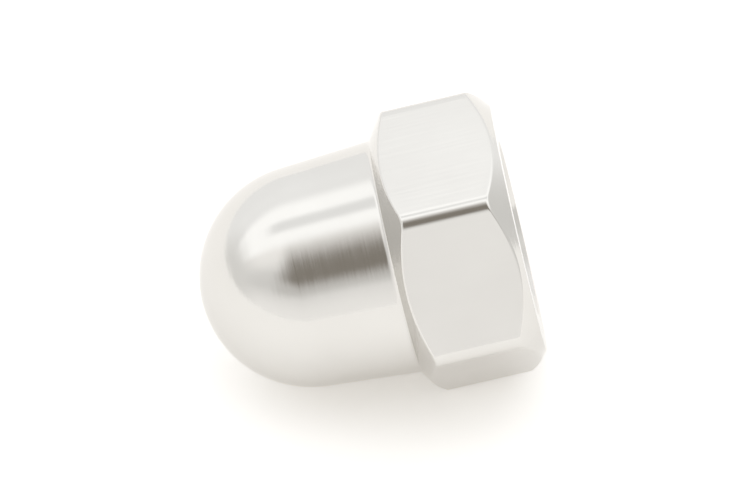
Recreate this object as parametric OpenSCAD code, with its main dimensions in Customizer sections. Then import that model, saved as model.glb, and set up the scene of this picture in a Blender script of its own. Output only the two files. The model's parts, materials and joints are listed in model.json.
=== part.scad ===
// Domed cap nut, metric M5, turned and tapped from hexagon bar in one piece.
// It lies as it comes to rest on a table: on the dome-side end of its lower flat and on its nose.
// +X points from the dome to the bearing face, +Z is up, and the table is z = 0.

/* [Thread] */
// Outside diameter of the thread
thread_d = 5; // [4.5:0.1:6]
// Pitch of the thread
thread_pitch = 0.8; // [0.5:0.05:1]
// Depth of the hole at its full diameter
bore_depth = 7; // [5.5:0.1:7.5]
// Included angle of the drill point at the bottom of the hole
drill_angle = 118; // [110:1:140]
// Width of the countersink's rim outside the thread
mouth_rim = 0.25; // [0.05:0.05:0.4]
// Included angle of the countersink
mouth_angle = 90; // [80:1:120]

/* [Hexagon] */
// Width across the flats
flats_w = 8; // [6.7:0.1:9.6]
// Height of the hexagon, from the bearing face to the dome's foot
hex_h = 3.85; // [3.2:0.05:4.7]
// Radius along the six edges between the flats
hex_edge_r = 0.55; // [0.1:0.05:0.8]
// How far the rim of the flat bearing face lies inside the flats
bearing_inset = 0.2; // [0.05:0.05:0.4]
// Slope of the chamfer round the bearing face
bearing_slope = 40; // [20:1:45]
// Slope of the chamfer that falls from the dome's foot to the edges of the hexagon
shoulder_slope = 33; // [15:1:36]

/* [Dome] */
// How far the dome's foot lies inside the flats
dome_inset = 0.4; // [0.3:0.05:0.7]
// Height of the dome above the hexagon
dome_h = 6; // [5:0.05:7.2]
// Slope of the dome's side against the nut's axis
side_slope = 4.2; // [1:0.1:7]
// Radius of the fillet round the dome's foot
foot_r = 0.2; // [0.1:0.05:0.5]

/* [Hidden] */
$fn = 96;
// Straight pieces in one rounded edge or fillet
arc_steps = 6;
// What the hole's cut reaches past the bearing face
over = 1;
// How far the side's end sinks into the ball nose, so that the two meet along one clean edge
seat = 0.00002;

// Thread: the hole's wall is the thread's crest
crest_r = (thread_d - 1.0825 * thread_pitch) / 2;
mouth_r = thread_d / 2 + mouth_rim;
mouth_h = (mouth_r - crest_r) / tan(mouth_angle / 2);
drill_point_h = crest_r / tan(drill_angle / 2);

// Hexagon: the bar's sharp corners, and what the chamfers take off their ends
flat_r = flats_w / 2;
corner_r = flat_r / cos(30);
edge_centre_r = corner_r - hex_edge_r / cos(30);
bearing_r = flat_r - bearing_inset;
bearing_cut = (corner_r - bearing_r) * tan(bearing_slope);
foot = [flat_r - dome_inset, hex_h];
shoulder_cut = (corner_r - foot.x) * tan(shoulder_slope);

// Dome: its side runs straight from the foot until it is tangent to the ball nose
nose_r = (foot.x * cos(side_slope) - dome_h * sin(side_slope)) / (1 - sin(side_slope));
nose_centre = [0, hex_h + dome_h - nose_r];
side_end = nose_centre + (nose_r - seat) * [cos(side_slope), sin(side_slope)];

// Foot fillet: tangent to the dome's side and to the shoulder chamfer
foot_half_angle = (90 + shoulder_slope + side_slope) / 2;
foot_centre_angle = (90 + side_slope - shoulder_slope) / 2;
foot_centre = foot + foot_r / sin(foot_half_angle) * [cos(foot_centre_angle), sin(foot_centre_angle)];

// Rest: the nut tips about the end of its lower flat until the nose meets the table
flat_end = [flat_r, hex_h - dome_inset * tan(shoulder_slope)];
flat_to_nose = nose_centre.y - flat_end.y;
tilt = acos(nose_r / norm([flat_to_nose, flat_r])) - atan2(flat_to_nose, flat_r);
axis_z = flat_end.x * cos(tilt) + flat_end.y * sin(tilt);
nose_reach = nose_centre.y * cos(tilt) + nose_r;
bearing_reach = bearing_r * sin(tilt);

// Points along an arc, with angles counted from the first axis
function arc(centre, radius, from, to) =
    [for (step = [0:arc_steps])
        let (turn = from + (to - from) * step / arc_steps)
        centre + radius * [cos(turn), sin(turn)]];

// Section of the hexagon bar: a flat faces +X, and the six edges are rounded
module bar_section() {
    polygon([for (corner = [30:60:330])
        each arc(edge_centre_r * [cos(corner), sin(corner)], hex_edge_r, corner - 30, corner + 30)]);
}

// Half of the outline that the bar is turned to, from the bearing face to the nose
module turned_section() {
    polygon([
        [0, 0],
        [bearing_r, 0],
        [corner_r, bearing_cut],
        [corner_r, hex_h - shoulder_cut],
        each arc(foot_centre, foot_r, 270 - shoulder_slope, 180 + side_slope),
        side_end,
        nose_centre
    ]);
    translate(nose_centre)
        intersection() {
            circle(nose_r);
            square(nose_r);
        }
}

// Half of the tapped hole, at the thread's crest
module hole_section() {
    polygon([
        [0, -over],
        [mouth_r + over * tan(mouth_angle / 2), -over],
        [mouth_r, 0],
        [crest_r, mouth_h],
        [crest_r, bore_depth],
        [0, bore_depth + drill_point_h]
    ]);
}

// The nut on its own axis, with the bearing face at z = 0 and the dome upwards
module upright_nut() {
    difference() {
        intersection() {
            linear_extrude(hex_h + dome_h)
                bar_section();
            rotate_extrude()
                turned_section();
        }
        rotate_extrude()
            hole_section();
    }
}

module cap_nut() {
    color([0.80, 0.79, 0.76])
        translate([(nose_reach - bearing_reach) / 2, 0, axis_z])
            rotate([0, -90 - tilt, 0])
                upright_nut();
}

cap_nut();
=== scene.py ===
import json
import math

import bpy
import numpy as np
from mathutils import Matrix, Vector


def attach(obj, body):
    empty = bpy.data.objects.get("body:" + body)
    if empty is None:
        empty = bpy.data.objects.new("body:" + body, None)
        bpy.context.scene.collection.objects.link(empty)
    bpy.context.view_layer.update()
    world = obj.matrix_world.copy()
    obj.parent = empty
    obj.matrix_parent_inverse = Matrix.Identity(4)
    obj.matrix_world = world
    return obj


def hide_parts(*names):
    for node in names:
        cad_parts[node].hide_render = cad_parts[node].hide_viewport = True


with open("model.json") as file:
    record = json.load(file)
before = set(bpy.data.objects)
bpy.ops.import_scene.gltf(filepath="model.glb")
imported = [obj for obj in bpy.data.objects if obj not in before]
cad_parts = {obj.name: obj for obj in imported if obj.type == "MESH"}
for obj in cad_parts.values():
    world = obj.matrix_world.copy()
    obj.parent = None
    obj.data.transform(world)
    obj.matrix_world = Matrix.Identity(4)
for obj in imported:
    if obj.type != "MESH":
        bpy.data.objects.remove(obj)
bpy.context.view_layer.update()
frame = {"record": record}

# A nickel-plated M5 domed cap nut, lying tipped onto its dome on a pale table.
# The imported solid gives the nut's place and its thread's crest. The piece that shows is a finer
# mesh of the same nut, built about its own axis: ball nose, side, foot fillet, chamfered hexagon,
# bearing face, countersink, right-hand thread and drill point, every edge softly broken.
# Lengths are in millimetres up to the point where the mesh is written. Down the nut's axis,
# depth a is 0 at the bearing face and grows towards the nose.

MOUNTS = {mount["name"]: mount for mount in frame["record"]["mounts"]}
NODE = "cap_nut"
MM = 0.001
DEG = math.pi / 180

# Sizes of the nut, as in the part's source
FLAT_R = 4.0
HEX_H = 3.85
HEX_EDGE_R = 0.55
BEARING_INSET = 0.2
BEARING_SLOPE = 40 * DEG
SHOULDER_SLOPE = 33 * DEG
DOME_INSET = 0.4
DOME_H = 6.0
SIDE_SLOPE = 4.2 * DEG
FOOT_R = 0.2
THREAD_R = 2.5
PITCH = 0.8
BORE_DEPTH = 7.0
DRILL_HALF = 59 * DEG
MOUTH_RIM = 0.25
MOUTH_HALF = 45 * DEG

# What follows from these sizes
CORNER_R = FLAT_R / math.cos(30 * DEG)
EDGE_CENTRE_R = CORNER_R - HEX_EDGE_R / math.cos(30 * DEG)
EDGE_HALF = math.atan2(HEX_EDGE_R / 2, EDGE_CENTRE_R + HEX_EDGE_R * math.cos(30 * DEG))
BEARING_R = FLAT_R - BEARING_INSET
FOOT_REACH = FLAT_R - DOME_INSET
NOSE_R = (FOOT_REACH * math.cos(SIDE_SLOPE) - DOME_H * math.sin(SIDE_SLOPE)) / (1 - math.sin(SIDE_SLOPE))
NOSE_A = HEX_H + DOME_H - NOSE_R
CREST_R = MOUNTS["thread"]["dims"]["r_mm"]
MOUTH_R = THREAD_R + MOUTH_RIM
DRILL_TIP = BORE_DEPTH + CREST_R / math.tan(DRILL_HALF)

# Radii that break the edges, too fine for the solid
SHOULDER_BREAK = 0.10
CHAMFER_BREAK = 0.12
BEARING_BREAK = 0.05
MOUTH_BREAK = 0.05

# The thread's section, in shares of the pitch: half of its flat crest, and one flank
CREST_HALF = 1 / 8
FLANK = 5 / 16
FLANK_RISE = (THREAD_R - CREST_R) / (FLANK * PITCH)
# The thread's depth fades out before the plain bottom of the hole
THREAD_END = 6.5
THREAD_FADE = 1.3

# Fineness of the mesh: columns round each edge and across each flat, and rows down the ball nose
EDGE_COLUMNS = 8
FLAT_COLUMNS = 36
NOSE_ROWS = 44
# How far from the rounded edge a flat's first column stands
EDGE_GUARD = 0.4 * DEG
# Rows within one pitch of thread, and the rise there: 1 up a flank, -1 down it, 0 on crest and root
THREAD_ROWS = ((0.0, 0), (0.21, 1), (0.28, 1), (0.35, 1), (0.5, 0), (0.65, -1), (0.72, -1), (0.79, -1))
# Corners of the section within one pitch, with the rise before and after each
THREAD_CORNERS = ((CREST_HALF, 0, 1), (CREST_HALF + FLANK, 1, 0),
                  (1 - CREST_HALF - FLANK, 0, -1), (1 - CREST_HALF, -1, 0))
# How close a row lies beside each of these corners, as a share of the pitch
CORNER_GUARD = 0.012
# The same in mm, beside the thread's lip and beside the hole's bottom corner
LIP_GUARD = 0.01
BOTTOM_GUARD = 0.03

# The plate's look: scales count features per millimetre, and depths are in metres
PLATE_TONES = ((0.650, 0.637, 0.611, 1), (0.672, 0.660, 0.634, 1))
# Nickel's dip in reflection near a grazing view
EDGE_TINT = (0.94, 0.935, 0.93, 1)
PLATE_ROUGHNESS = (0.11, 0.15)
CLOUD_SCALE = 0.42
GRAIN_SCALE = 2.6
PEEL_DEPTH = 0.000008
RING_SCALE = 8.0
LINE_SCALE = 7.0
# Along the bar, the lines' noise runs at this share of its pace
LINE_STRETCH = 0.05
MARK_DEPTH = 0.0000025
MARK_ROUGHNESS = 0.012
NOISE_DETAIL = 3.0
GRAIN_DETAIL = 4.0
# Nearly all of a noise lies between these values
NOISE_SPAN = (0.3, 0.7)
# Down the hole: its tone and the share of it that shows, what it adds to the roughness, and the
# depths between which it sets in
HOLE_TONE = (0.50, 0.485, 0.46, 1)
HOLE_SHARE = 0.8
HOLE_ROUGHNESS = 0.14
HOLE_FADE = (0.1, 0.9)
# Past this depth, just past the drill's tip, the hole's look ends
HOLE_END = DRILL_TIP + 0.05
# How far reflections run out across the marks, and which way, on turned and on drawn surfaces
POLISH_RUN = (0.6, 0.4)
POLISH_TURN = (0.25, 0.0)

# The view: azimuth 0 is from the front
VIEW_AZIMUTH = -7.8 * DEG
VIEW_ELEVATION = 47.6 * DEG
VIEW_DISTANCE = 213 * MM
# What the frame spans at the nut, and where the bearing face's centre lies from its middle
VIEW_WIDTH = 22.32 * MM
FACE_RIGHT = 4.53 * MM
FACE_UP = 0.55 * MM
SENSOR_WIDTH = 36.0
CLIP = (0.01, 10)

# The room, as light by direction. All of its light is halved, and ROOM_STRENGTH makes up for that.
ROOM_STRENGTH = 2.0
# What the camera itself sees past the table
BACKDROP = 1.05
# Light of the walls against the angle over the top, in degrees: 0 is the front, 180 the back
WALLS = ((0, 0.605), (12, 0.575), (24, 0.515), (34, 0.445), (50, 0.47), (66, 0.60), (80, 0.63),
         (128, 0.61), (140, 0.595), (151, 0.60), (180, 0.58))
FRONT_TINT = (1.0, 0.990, 0.978)
BACK_TINT = (1.0, 1.005, 1.010)
# Light, then the angle out to the side where it begins and how softly, in degrees
SIDES = ((0.48, 0.477, 0.47, 1), (64, 16))
RIGHT_END = ((0.43, 0.427, 0.42, 1), (56, 14))
# Light, then low edge, high edge and half width in degrees, each with its softness; the camera's
# shape also narrows upwards and leans
SOFTBOX = ((0.73, 0.734, 0.737, 1), (81, 7, 131, 7, 66, 12))
GAP = ((0.55, 0.553, 0.555, 1), (98, 4, 111, 4, 38, 8))
PHOTOGRAPHER = ((0.38, 0.375, 0.365, 1), (26, 6, 50, 8, 36, 8))
CAMERA = ((0.150, 0.137, 0.120, 1), (32, 6, 69, 17, 30, 12, 0.2, 0.35))
PATCHES = (SOFTBOX, GAP, PHOTOGRAPHER, CAMERA)

# The table: half its side in metres, its paper, and a painted glow given to the paper, which lightens and
# warms the shadow under the nut
TABLE_HALF = 1.5
PAPER_TONE = (0.895, 0.895, 0.90, 1)
PAPER_PAINTED_GLOW = (0.303, 0.291, 0.268, 1)


# ---------------------------------------------------------------- outside

def column_angles():
    """Angles of the mesh's columns: fine round the six edges, even across the flats."""
    edge = [-EDGE_HALF + 2 * EDGE_HALF * i / EDGE_COLUMNS for i in range(EDGE_COLUMNS + 1)]
    across = 60 * DEG - 2 * EDGE_HALF - 2 * EDGE_GUARD
    flat = [EDGE_HALF + EDGE_GUARD + across * i / FLAT_COLUMNS for i in range(FLAT_COLUMNS + 1)]
    return np.array([(30 + 60 * k) * DEG + t for k in range(6) for t in edge + flat])


def bar_outline(theta):
    """The hexagon bar's radius and the direction it faces, at each column."""
    edge = 30 * DEG + 60 * DEG * np.round((theta - 30 * DEG) / (60 * DEG))
    flat = 60 * DEG * np.round(theta / (60 * DEG))
    off = theta - edge
    chord = np.sqrt(np.maximum(HEX_EDGE_R ** 2 - (EDGE_CENTRE_R * np.sin(off)) ** 2, 0))
    round_r = EDGE_CENTRE_R * np.cos(off) + chord
    facing = np.arctan2(round_r * np.sin(off), round_r * np.cos(off) - EDGE_CENTRE_R) + edge
    rounded = np.abs(off) < EDGE_HALF - 1e-9
    return (np.where(rounded, round_r, FLAT_R / np.cos(theta - flat)),
            np.where(rounded, facing, flat))


def unit(vectors):
    return vectors / np.linalg.norm(vectors, axis=-1, keepdims=True)


def turned(first, second, share):
    """The directions that lie that share of the way round from the first to the second."""
    angle = np.arccos(np.clip((first * second).sum(-1, keepdims=True), -1, 1))
    angle = np.maximum(angle, 1e-6)
    return unit(first * np.sin((1 - share) * angle) + second * np.sin(share * angle))


def rows_round(corners, places, normals, flat_normals):
    """Rows along each run of the outline, and round the softly broken corner at the run's end.

    Places are the outline's points, from the one before the first corner to the one after the last.
    """
    rows = []
    reached = places[0]
    for i, (corner, bend_r, bend_rows, run_rows, before) in enumerate(corners):
        come, go = unit(corner - places[i]), unit(places[i + 2] - corner)
        turn = np.arccos((come * go).sum(1, keepdims=True))
        inner = unit(go - come * np.cos(turn))
        start = corner - come * bend_r * np.tan(turn / 2)
        for k in range(run_rows):
            share = (1 - math.cos(math.pi * k / run_rows)) / 2
            rows.append((reached + (start - reached) * share, before, float(before is flat_normals)))
        for k in range(bend_rows):
            angle = turn * k / bend_rows
            place = start + bend_r * (come * np.sin(angle) + inner * (1 - np.cos(angle)))
            rows.append((place, turned(before, normals[i + 1], k / bend_rows), 0.0))
        reached = start + bend_r * (come * np.sin(turn) + inner * (1 - np.cos(turn)))
    rows.append((reached, normals[-1], 0.0))
    return rows


def outer_rows(theta):
    """The outside from the nose to the countersink: rows of points (r, a), normals and drawn share.

    The drawn share is 1 on the flats, which keep the bar's drawn surface, and 0 where it was turned.
    """
    count = len(theta)
    radius, facing = bar_outline(theta)
    outward = np.stack([np.cos(theta), np.sin(theta), np.zeros(count)], axis=1)
    upward = np.tile([0.0, 0.0, 1.0], (count, 1))
    flat_normals = np.stack([np.cos(facing), np.sin(facing), np.zeros(count)], axis=1)

    def at(r, a):
        return np.stack([r + np.zeros(count), a + np.zeros(count)], axis=1)

    def facing_up(angle):
        return math.cos(angle) * outward + math.sin(angle) * upward

    def on_ball(angle):
        return at(NOSE_R * math.cos(angle), NOSE_A + NOSE_R * math.sin(angle))

    down_nose = [90 * DEG - (90 * DEG - SIDE_SLOPE) * i / NOSE_ROWS for i in range(1, NOSE_ROWS)]
    rows = [(on_ball(angle), facing_up(angle), 0.0) for angle in down_nose]
    # Each corner of the outline: its place, its radius, rows round it, rows on the run before it,
    # and the normals of that run
    corners = [
        (at(FOOT_REACH, HEX_H), FOOT_R, 10, 8, facing_up(SIDE_SLOPE)),
        (at(radius, HEX_H - (radius - FOOT_REACH) * math.tan(SHOULDER_SLOPE)), SHOULDER_BREAK, 7, 6,
         facing_up(90 * DEG - SHOULDER_SLOPE)),
        (at(radius, (radius - BEARING_R) * math.tan(BEARING_SLOPE)), CHAMFER_BREAK, 7, 8, flat_normals),
        (at(BEARING_R, 0), BEARING_BREAK, 5, 6, facing_up(BEARING_SLOPE - 90 * DEG)),
        (at(MOUTH_R, 0), MOUTH_BREAK, 5, 6, -upward),
    ]
    places = [on_ball(SIDE_SLOPE)] + [corner[0] for corner in corners]
    places.append(at(CREST_R, (MOUTH_R - CREST_R) / math.tan(MOUTH_HALF)))
    normals = [corner[4] for corner in corners] + [-facing_up(MOUTH_HALF)]
    return rows + rows_round(corners, places, normals, flat_normals)


# ---------------------------------------------------------------- hole

def pitch_rows():
    """Where rows lie within one pitch of thread, and the rise there, halved on a corner."""
    rows = list(THREAD_ROWS)
    for corner, before, after in THREAD_CORNERS:
        rows.append((corner - CORNER_GUARD, before))
        rows.append((corner, (before + after) / 2))
        rows.append((corner + CORNER_GUARD, after))
    return sorted(rows)


def thread_fade(a):
    """The share of its full depth that the thread has at depth a."""
    return min(max((THREAD_END - a) / THREAD_FADE, 0.0), 1.0)


def thread_radius(a, theta):
    """The right-hand thread's radius at depth a, with a crest at depth 0 in column 0."""
    from_crest = abs((a / PITCH - theta / (2 * math.pi) + 0.5) % 1.0 - 0.5)
    flank = min(max((from_crest - CREST_HALF) / FLANK, 0.0), 1.0)
    return CREST_R + (THREAD_R - CREST_R) * flank * thread_fade(a)


def mouth_radius(a):
    """The countersink's radius at depth a."""
    return MOUTH_R - a * math.tan(MOUTH_HALF)


def wall_column(theta, start, rows):
    """Depth, rise and lip of each row in one column of the hole's wall, where rows follow the helix.

    The lip is where the thread runs out into the countersink: 1 marks its row on the thread, -1 its row
    on the countersink, and 0 any other row. Both move up to the lip, but a row on a corner of the
    thread stays where it is.
    """
    turns = math.ceil(THREAD_END / PITCH) + 1
    lead = PITCH * theta / (2 * math.pi)
    depths = [min(max(PITCH * (k + f) + lead, start), THREAD_END)
              for k in range(-1, turns) for f, rise in rows]
    rises = [rise for f, rise in rows] * (turns + 1)
    on_corner = [abs(rise) == 0.5 for rise in rises]
    # Over 0 where the wall is the thread, under 0 where the countersink has cut it away
    bare = [thread_radius(a, theta) - mouth_radius(a) for a in depths]
    placed = list(depths)
    lips = [0] * len(depths)
    for i in range(len(depths) - 1):
        if bare[i] * bare[i + 1] < 0:
            lip = depths[i] + (depths[i + 1] - depths[i]) * bare[i] / (bare[i] - bare[i + 1])
            lips[i], lips[i + 1] = (1, -1) if bare[i] > 0 else (-1, 1)
            if lips[i] < 0 or not on_corner[i]:
                placed[i] = max(depths[i], lip - LIP_GUARD)
            if lips[i + 1] < 0 or not on_corner[i + 1]:
                placed[i + 1] = min(depths[i + 1], lip + LIP_GUARD)
    return list(zip(placed, rises, lips))


def wall_vertex(a, angle, theta, rise):
    """A vertex of the hole's wall for MeshRows.add: radius, depth, angle and the direction it faces."""
    radius = thread_radius(a, theta)
    slope = rise * FLANK_RISE * thread_fade(a)
    twist = -slope * PITCH / (2 * math.pi) / radius
    if mouth_radius(a) > radius:
        radius = mouth_radius(a)
        slope = -math.tan(MOUTH_HALF)
        twist = 0.0
    length = math.hypot(1.0, twist, slope)
    cos, sin = math.cos(angle), math.sin(angle)
    normal = (-cos - twist * sin, -sin + twist * cos, slope)
    return radius, a, angle, tuple(part / length for part in normal)


# ---------------------------------------------------------------- mesh

class MeshRows:
    """Collects the vertices, normals, drawn shares and faces of one closed mesh."""

    def __init__(self, theta):
        self.theta = theta
        self.points = []
        self.normals = []
        self.drawn = []
        self.faces = []

    def add(self, r, a, angle, normal=(0.0, 0.0, 0.0), drawn=0.0):
        """One vertex. Where the normal is left at 0, Blender's own is used."""
        self.points.append((r * math.cos(angle), r * math.sin(angle), a))
        self.normals.append(tuple(normal))
        self.drawn.append(drawn)
        return len(self.points) - 1

    def ring(self, radii, depths, normals, drawn=0.0):
        return [self.add(r, a, t, n, drawn) for r, a, t, n in zip(radii, depths, self.theta, normals)]

    def plain_ring(self, r, a):
        return [self.add(r, a, t) for t in self.theta]

    def face(self, *corners):
        """One face, or none where corners coincide until fewer than three are left."""
        kept = [c for i, c in enumerate(corners) if c != corners[i - 1]]
        if len(kept) > 2:
            self.faces.append(kept)

    def strip(self, upper, lower):
        for j in range(len(upper)):
            self.face(upper[j - 1], lower[j - 1], lower[j], upper[j])


def add_outside(rows):
    """The outside, from the nose's tip to the countersink. Gives its last ring, and that ring's depth."""
    tip = rows.add(0, HEX_H + DOME_H, 0, (0.0, 0.0, 1.0))
    previous = [tip] * len(rows.theta)
    for place, normals, drawn in outer_rows(rows.theta):
        ring = rows.ring(place[:, 0], place[:, 1], normals, drawn)
        rows.strip(previous, ring)
        previous = ring
    return previous, float(place[0, 1])


def add_wall(rows, mouth, start, bottom, section):
    """Vertices of the wall between two rings, column by column, and which of them lie on the lip."""
    wall = []
    lip_of = {}
    for j, angle in enumerate(rows.theta):
        column = []
        theta = angle - rows.theta[0]
        for a, rise, lip in wall_column(theta, start, section):
            if a <= start:
                column.append(mouth[j])
            elif a >= THREAD_END:
                column.append(bottom[j])
            else:
                column.append(rows.add(*wall_vertex(a, angle, theta, rise)))
                lip_of[column[-1]] = lip
        wall.append(column)
    return wall, lip_of


def close_wall(rows, mouth, bottom, wall, lip_of, in_pitch):
    """Faces of the wall. Where the lip crosses a face from corner to corner, it is split along it."""
    length = len(wall[0])

    def at(column, i):
        if i < 0:
            return mouth[column]
        return bottom[column] if i >= length else wall[column][i]

    for j in range(len(wall)):
        # Beyond the last column the helix has climbed by one pitch
        after = (j + 1) % len(wall)
        climb = in_pitch if after == 0 else 0
        for i in range(-in_pitch, length):
            near, near_next = at(j, i), at(j, i + 1)
            far, far_next = at(after, i + climb), at(after, i + 1 + climb)
            if lip_of.get(near_next) and lip_of.get(near_next) == lip_of.get(far):
                rows.face(near, near_next, far)
                rows.face(near_next, far_next, far)
            elif lip_of.get(near) and lip_of.get(near) == lip_of.get(far_next):
                rows.face(near, near_next, far_next)
                rows.face(near, far_next, far)
            else:
                rows.face(near, near_next, far_next, far)


def add_bottom(rows, previous):
    """The plain bottom of the hole and the drill's point."""
    for r, a in ((CREST_R, BORE_DEPTH - BOTTOM_GUARD), (CREST_R, BORE_DEPTH),
                 (CREST_R - BOTTOM_GUARD, BORE_DEPTH + BOTTOM_GUARD / math.tan(DRILL_HALF)),
                 (CREST_R / 2, BORE_DEPTH + CREST_R / 2 / math.tan(DRILL_HALF))):
        ring = rows.plain_ring(r, a)
        rows.strip(previous, ring)
        previous = ring
    rows.strip(previous, [rows.add(0, DRILL_TIP, 0)] * len(previous))


def nut_mesh():
    """The nut as one closed mesh, about its own axis, with its bearing face at z = 0."""
    rows = MeshRows(column_angles())
    mouth, start = add_outside(rows)
    bottom = rows.plain_ring(CREST_R, THREAD_END)
    section = pitch_rows()
    wall, lip_of = add_wall(rows, mouth, start, bottom, section)
    close_wall(rows, mouth, bottom, wall, lip_of, len(section))
    add_bottom(rows, bottom)
    return rows


def nut_place():
    """Where the nut's own axes lie in the frame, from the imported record's mounts."""
    axis = Vector(MOUNTS["thread"]["axis"]).normalized()
    on_axis = Vector(MOUNTS["thread"]["pos_m"])
    on_face = Vector(MOUNTS["bearing_face"]["pos_m"])
    centre = on_axis + axis * (on_face - on_axis).dot(axis)
    up = Vector((-axis.z, 0, axis.x))
    place = Matrix((up, (0, 1, 0), -axis)).transposed().to_4x4()
    place.translation = centre
    return place


def build_nut():
    rows = nut_mesh()
    place = np.array(nut_place())
    points = np.array(rows.points)
    mesh = bpy.data.meshes.new("cap_nut_with_thread")
    mesh.from_pydata((points * MM @ place[:3, :3].T + place[:3, 3]).tolist(), [], rows.faces)
    mesh.polygons.foreach_set("use_smooth", [True] * len(mesh.polygons))
    own = mesh.attributes.new("own_mm", "FLOAT_VECTOR", "POINT")
    own.data.foreach_set("vector", points.ravel())
    drawn = mesh.attributes.new("drawn", "FLOAT", "POINT")
    drawn.data.foreach_set("value", rows.drawn)
    mesh.normals_split_custom_set_from_vertices((np.array(rows.normals) @ place[:3, :3].T).tolist())
    nut = bpy.data.objects.new("domed_cap_nut", mesh)
    bpy.context.scene.collection.objects.link(nut)
    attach(nut, "root")
    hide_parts(NODE)
    return nut


# ---------------------------------------------------------------- material

def node(tree, kind, inputs=None, **settings):
    """One shader node with its settings; inputs are values, or sockets to link from."""
    made = tree.nodes.new(kind)
    for name, value in settings.items():
        setattr(made, name, value)
    for name, value in (inputs or {}).items():
        if isinstance(value, bpy.types.NodeSocket):
            tree.links.new(value, made.inputs[name])
        else:
            made.inputs[name].default_value = value
    return made


def math_node(tree, operation, *values):
    return node(tree, "ShaderNodeMath", dict(enumerate(values)), operation=operation).outputs[0]


def vector_node(tree, operation, *values):
    return node(tree, "ShaderNodeVectorMath", dict(enumerate(values)), operation=operation)


def spread(tree, value, low, high, to_low, to_high):
    """Carries the range low to high over to another range, and holds its ends."""
    return node(tree, "ShaderNodeMapRange", {"Value": value, "From Min": low, "From Max": high,
                                             "To Min": to_low, "To Max": to_high}).outputs["Result"]


def noise(tree, vector, scale, detail):
    return node(tree, "ShaderNodeTexNoise",
                {"Vector": vector, "Scale": scale, "Detail": detail}).outputs["Fac"]


def mixed_colour(tree, share, first, second):
    return node(tree, "ShaderNodeMix", {0: share, 6: first, 7: second}, data_type="RGBA").outputs[2]


def tool_marks(tree, place, own, off_axis, drawn):
    """Rings where the lathe cut, and lines along the bar where its drawn surface is left."""
    across = node(tree, "ShaderNodeCombineXYZ", {"X": off_axis, "Y": own.outputs["Z"]}).outputs["Vector"]
    rings = noise(tree, across, RING_SCALE, NOISE_DETAIL)
    stretched = vector_node(tree, "MULTIPLY", place, (1.0, 1.0, LINE_STRETCH)).outputs["Vector"]
    lines = noise(tree, stretched, LINE_SCALE, NOISE_DETAIL)
    return node(tree, "ShaderNodeMix", {0: drawn, 2: rings, 3: lines}).outputs[0]


def hole_mask(tree, own, off_axis):
    """1 down the hole, where the colour is darker and the surface duller, and 0 outside."""
    inside = spread(tree, off_axis, THREAD_R, MOUTH_R, 1.0, 0.0)
    below = spread(tree, own.outputs["Z"], *HOLE_FADE, 0.0, 1.0)
    short_of_nose = math_node(tree, "LESS_THAN", own.outputs["Z"], HOLE_END)
    return math_node(tree, "MULTIPLY", math_node(tree, "MULTIPLY", inside, below), short_of_nose)


def round_axis(tree, own):
    """The direction round the nut's axis, in the frame."""
    place = nut_place()
    parts = [node(tree, "ShaderNodeVectorMath", {0: tuple(place.col[k].xyz), "Scale": own.outputs[name]},
                  operation="SCALE").outputs["Vector"] for k, name in enumerate(("X", "Y"))]
    outward = vector_node(tree, "ADD", *parts).outputs["Vector"]
    return vector_node(tree, "CROSS_PRODUCT", tuple(MOUNTS["thread"]["axis"]), outward).outputs["Vector"]


def nickel_plate():
    """Bright nickel plate: warm silver over the faint rings of the lathe and lines of the drawn bar."""
    material = bpy.data.materials.new("nickel_plate")
    material.use_nodes = True
    tree = material.node_tree
    tree.nodes.clear()
    place = node(tree, "ShaderNodeAttribute", attribute_name="own_mm").outputs["Vector"]
    drawn = node(tree, "ShaderNodeAttribute", attribute_name="drawn").outputs["Fac"]
    own = node(tree, "ShaderNodeSeparateXYZ", {"Vector": place})
    off_axis = math_node(tree, "SQRT", math_node(tree, "ADD", math_node(tree, "POWER", own.outputs["X"], 2.0),
                                                 math_node(tree, "POWER", own.outputs["Y"], 2.0)))
    marks = tool_marks(tree, place, own, off_axis, drawn)
    in_hole = hole_mask(tree, own, off_axis)

    clouds = noise(tree, place, CLOUD_SCALE, NOISE_DETAIL)
    tone = node(tree, "ShaderNodeValToRGB", {"Fac": clouds})
    for element, position, shade in zip(tone.color_ramp.elements, NOISE_SPAN, PLATE_TONES):
        element.position = position
        element.color = shade
    colour = mixed_colour(tree, math_node(tree, "MULTIPLY", in_hole, HOLE_SHARE),
                          tone.outputs["Color"], HOLE_TONE)

    grain = noise(tree, place, GRAIN_SCALE, GRAIN_DETAIL)
    roughness = math_node(tree, "ADD", spread(tree, grain, *NOISE_SPAN, *PLATE_ROUGHNESS),
                          spread(tree, marks, *NOISE_SPAN, -MARK_ROUGHNESS, MARK_ROUGHNESS))
    roughness = math_node(tree, "ADD", roughness, math_node(tree, "MULTIPLY", in_hole, HOLE_ROUGHNESS))
    peel = node(tree, "ShaderNodeBump", {"Height": clouds, "Strength": 1.0, "Distance": PEEL_DEPTH})
    scored = node(tree, "ShaderNodeBump", {"Height": marks, "Strength": 1.0, "Distance": MARK_DEPTH,
                                           "Normal": peel.outputs["Normal"]})

    # Polishing follows the marks, so reflections run out across them
    surface = node(tree, "ShaderNodeBsdfPrincipled",
                   {"Base Color": colour, "Metallic": 1.0, "Roughness": roughness,
                    "Specular Tint": EDGE_TINT,
                    "Anisotropic": spread(tree, drawn, 0.0, 1.0, *POLISH_RUN),
                    "Anisotropic Rotation": spread(tree, drawn, 0.0, 1.0, *POLISH_TURN),
                    "Tangent": round_axis(tree, own), "Normal": scored.outputs["Normal"]})
    node(tree, "ShaderNodeOutputMaterial", {"Surface": surface.outputs["BSDF"]})
    return material


# ---------------------------------------------------------------- studio

def direction(azimuth, elevation):
    """From the nut towards that azimuth, 0 for the front, and elevation; past 90 it is behind."""
    return Vector((math.sin(azimuth) * math.cos(elevation),
                   -math.cos(azimuth) * math.cos(elevation), math.sin(elevation)))


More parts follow.
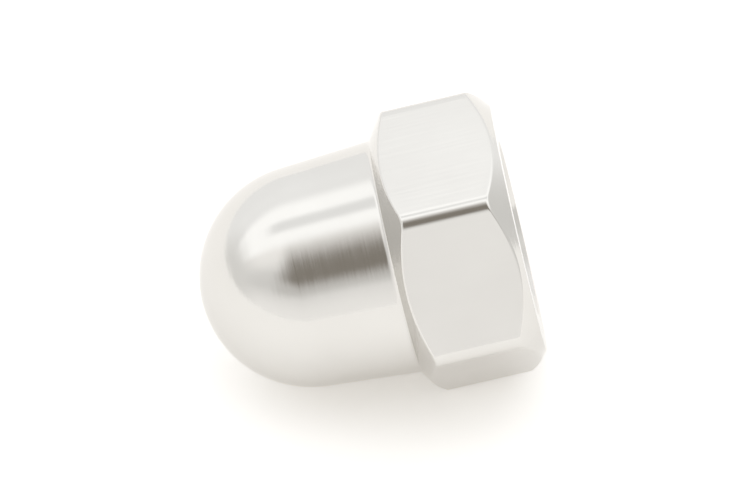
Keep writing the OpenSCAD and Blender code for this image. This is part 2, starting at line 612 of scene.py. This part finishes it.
def paper_with_painted_glow():
    """White paper with a painted glow: an emission that lightens and warms the shadow under the nut."""
    material = bpy.data.materials.new("paper_with_painted_glow")
    material.use_nodes = True
    tree = material.node_tree
    tree.nodes.clear()
    paper = node(tree, "ShaderNodeBsdfDiffuse", {"Color": PAPER_TONE})
    # Painted light: the paper glows though no lamp lights it, lightening the shadow under the nut
    painted_glow = node(tree, "ShaderNodeEmission", {"Color": PAPER_PAINTED_GLOW, "Strength": 1.0})
    both = node(tree, "ShaderNodeAddShader", {0: paper.outputs[0], 1: painted_glow.outputs[0]})
    node(tree, "ShaderNodeOutputMaterial", {"Surface": both.outputs[0]})
    return material


def past(tree, angle, at, soft):
    """Rises from 0 to 1 as the angle passes a place in degrees, over that softness to each side."""
    return node(tree, "ShaderNodeMapRange",
                {"Value": angle, "From Min": (at - soft) * DEG, "From Max": (at + soft) * DEG},
                interpolation_type="SMOOTHSTEP").outputs["Result"]


def wall_light(tree, over):
    """The walls' light, from the front horizon over the top to the back one."""
    share = node(tree, "ShaderNodeMapRange", {"Value": over, "From Min": 0.0, "From Max": math.pi})
    walls = node(tree, "ShaderNodeValToRGB", {"Fac": share.outputs["Result"]})
    ramp = walls.color_ramp
    while len(ramp.elements) < len(WALLS):
        ramp.elements.new(0.5)
    for element, (angle, light) in zip(ramp.elements, WALLS):
        element.position = angle / 180
        element.color = [light * part for part in (FRONT_TINT if angle < 90 else BACK_TINT)] + [1]
    return walls.outputs["Color"]


def patch(tree, over, rightward, low, low_soft, high, high_soft, half_width, side_soft,
          narrowing=0.0, lean=0.0):
    """1 inside a patch of the room and 0 outside, from the angles over the top and to the right."""
    leant = math_node(tree, "ADD", over, math_node(tree, "MULTIPLY", rightward, lean))
    between = math_node(tree, "SUBTRACT", past(tree, leant, low, low_soft),
                        past(tree, leant, high, high_soft))
    climbed = math_node(tree, "MULTIPLY", math_node(tree, "SUBTRACT", over, low * DEG), narrowing)
    aside = math_node(tree, "ABSOLUTE", rightward)
    beside = past(tree, math_node(tree, "ADD", aside, climbed), half_width, side_soft)
    return math_node(tree, "MULTIPLY", between, math_node(tree, "SUBTRACT", 1.0, beside))


def room_light(tree):
    """Halved light by direction: pale walls, a softbox overhead with a gap, and a dark camera in front."""
    look = node(tree, "ShaderNodeTexCoord").outputs["Generated"]

    def along(axis):
        return vector_node(tree, "DOT_PRODUCT", look, axis).outputs["Value"]

    # Angle from the front horizon over the top to the back, and angle out to the right
    over = math_node(tree, "ARCTAN2", along((0, 0, 1)), along(direction(VIEW_AZIMUTH, 0)))
    rightward = math_node(tree, "ARCSINE", along(direction(VIEW_AZIMUTH + 90 * DEG, 0)))
    aside = math_node(tree, "ABSOLUTE", rightward)

    colour = wall_light(tree, over)
    for angle, (light, edge) in ((aside, SIDES), (rightward, RIGHT_END)):
        colour = mixed_colour(tree, past(tree, angle, *edge), colour, light)
    for light, shape in PATCHES:
        colour = mixed_colour(tree, patch(tree, over, rightward, *shape), colour, light)
    return colour


def studio_world():
    """The room for every ray but the camera's own, which see a white backdrop."""
    world = bpy.data.worlds.new("studio")
    world.use_nodes = True
    tree = world.node_tree
    tree.nodes.clear()
    # Map ranges hold at most 1, so the room's light is kept halved up to here
    room = node(tree, "ShaderNodeBackground", {"Color": room_light(tree), "Strength": ROOM_STRENGTH})
    seen = node(tree, "ShaderNodeBackground", {"Color": (1, 1, 1, 1), "Strength": BACKDROP})
    ray = node(tree, "ShaderNodeLightPath").outputs["Is Camera Ray"]
    mixed = node(tree, "ShaderNodeMixShader", {0: ray, 1: room.outputs[0], 2: seen.outputs[0]})
    node(tree, "ShaderNodeOutputWorld", {"Surface": mixed.outputs[0]})
    return world


def build_studio():
    scene = bpy.context.scene
    scene.view_settings.view_transform = "Standard"
    scene.world = studio_world()

    half = TABLE_HALF
    corners = [(-half, -half, 0), (half, -half, 0), (half, half, 0), (-half, half, 0)]
    mesh = bpy.data.meshes.new("table")
    mesh.from_pydata(corners, [], [(0, 1, 2, 3)])
    mesh.materials.append(paper_with_painted_glow())
    table = bpy.data.objects.new("table", mesh)
    scene.collection.objects.link(table)


def build_camera():
    lens = bpy.data.cameras.new("camera")
    lens.sensor_width = SENSOR_WIDTH
    lens.lens = SENSOR_WIDTH * VIEW_DISTANCE / VIEW_WIDTH
    lens.clip_start, lens.clip_end = CLIP
    back = direction(VIEW_AZIMUTH, VIEW_ELEVATION)
    turn = back.to_track_quat("Z", "Y")
    camera = bpy.data.objects.new("camera", lens)
    camera.location = nut_place().translation - turn @ Vector((FACE_RIGHT, FACE_UP, 0)) + back * VIEW_DISTANCE
    camera.rotation_euler = turn.to_euler()
    bpy.context.scene.collection.objects.link(camera)
    bpy.context.scene.camera = camera


nut = build_nut()
nut.data.materials.append(nickel_plate())
build_studio()
build_camera()
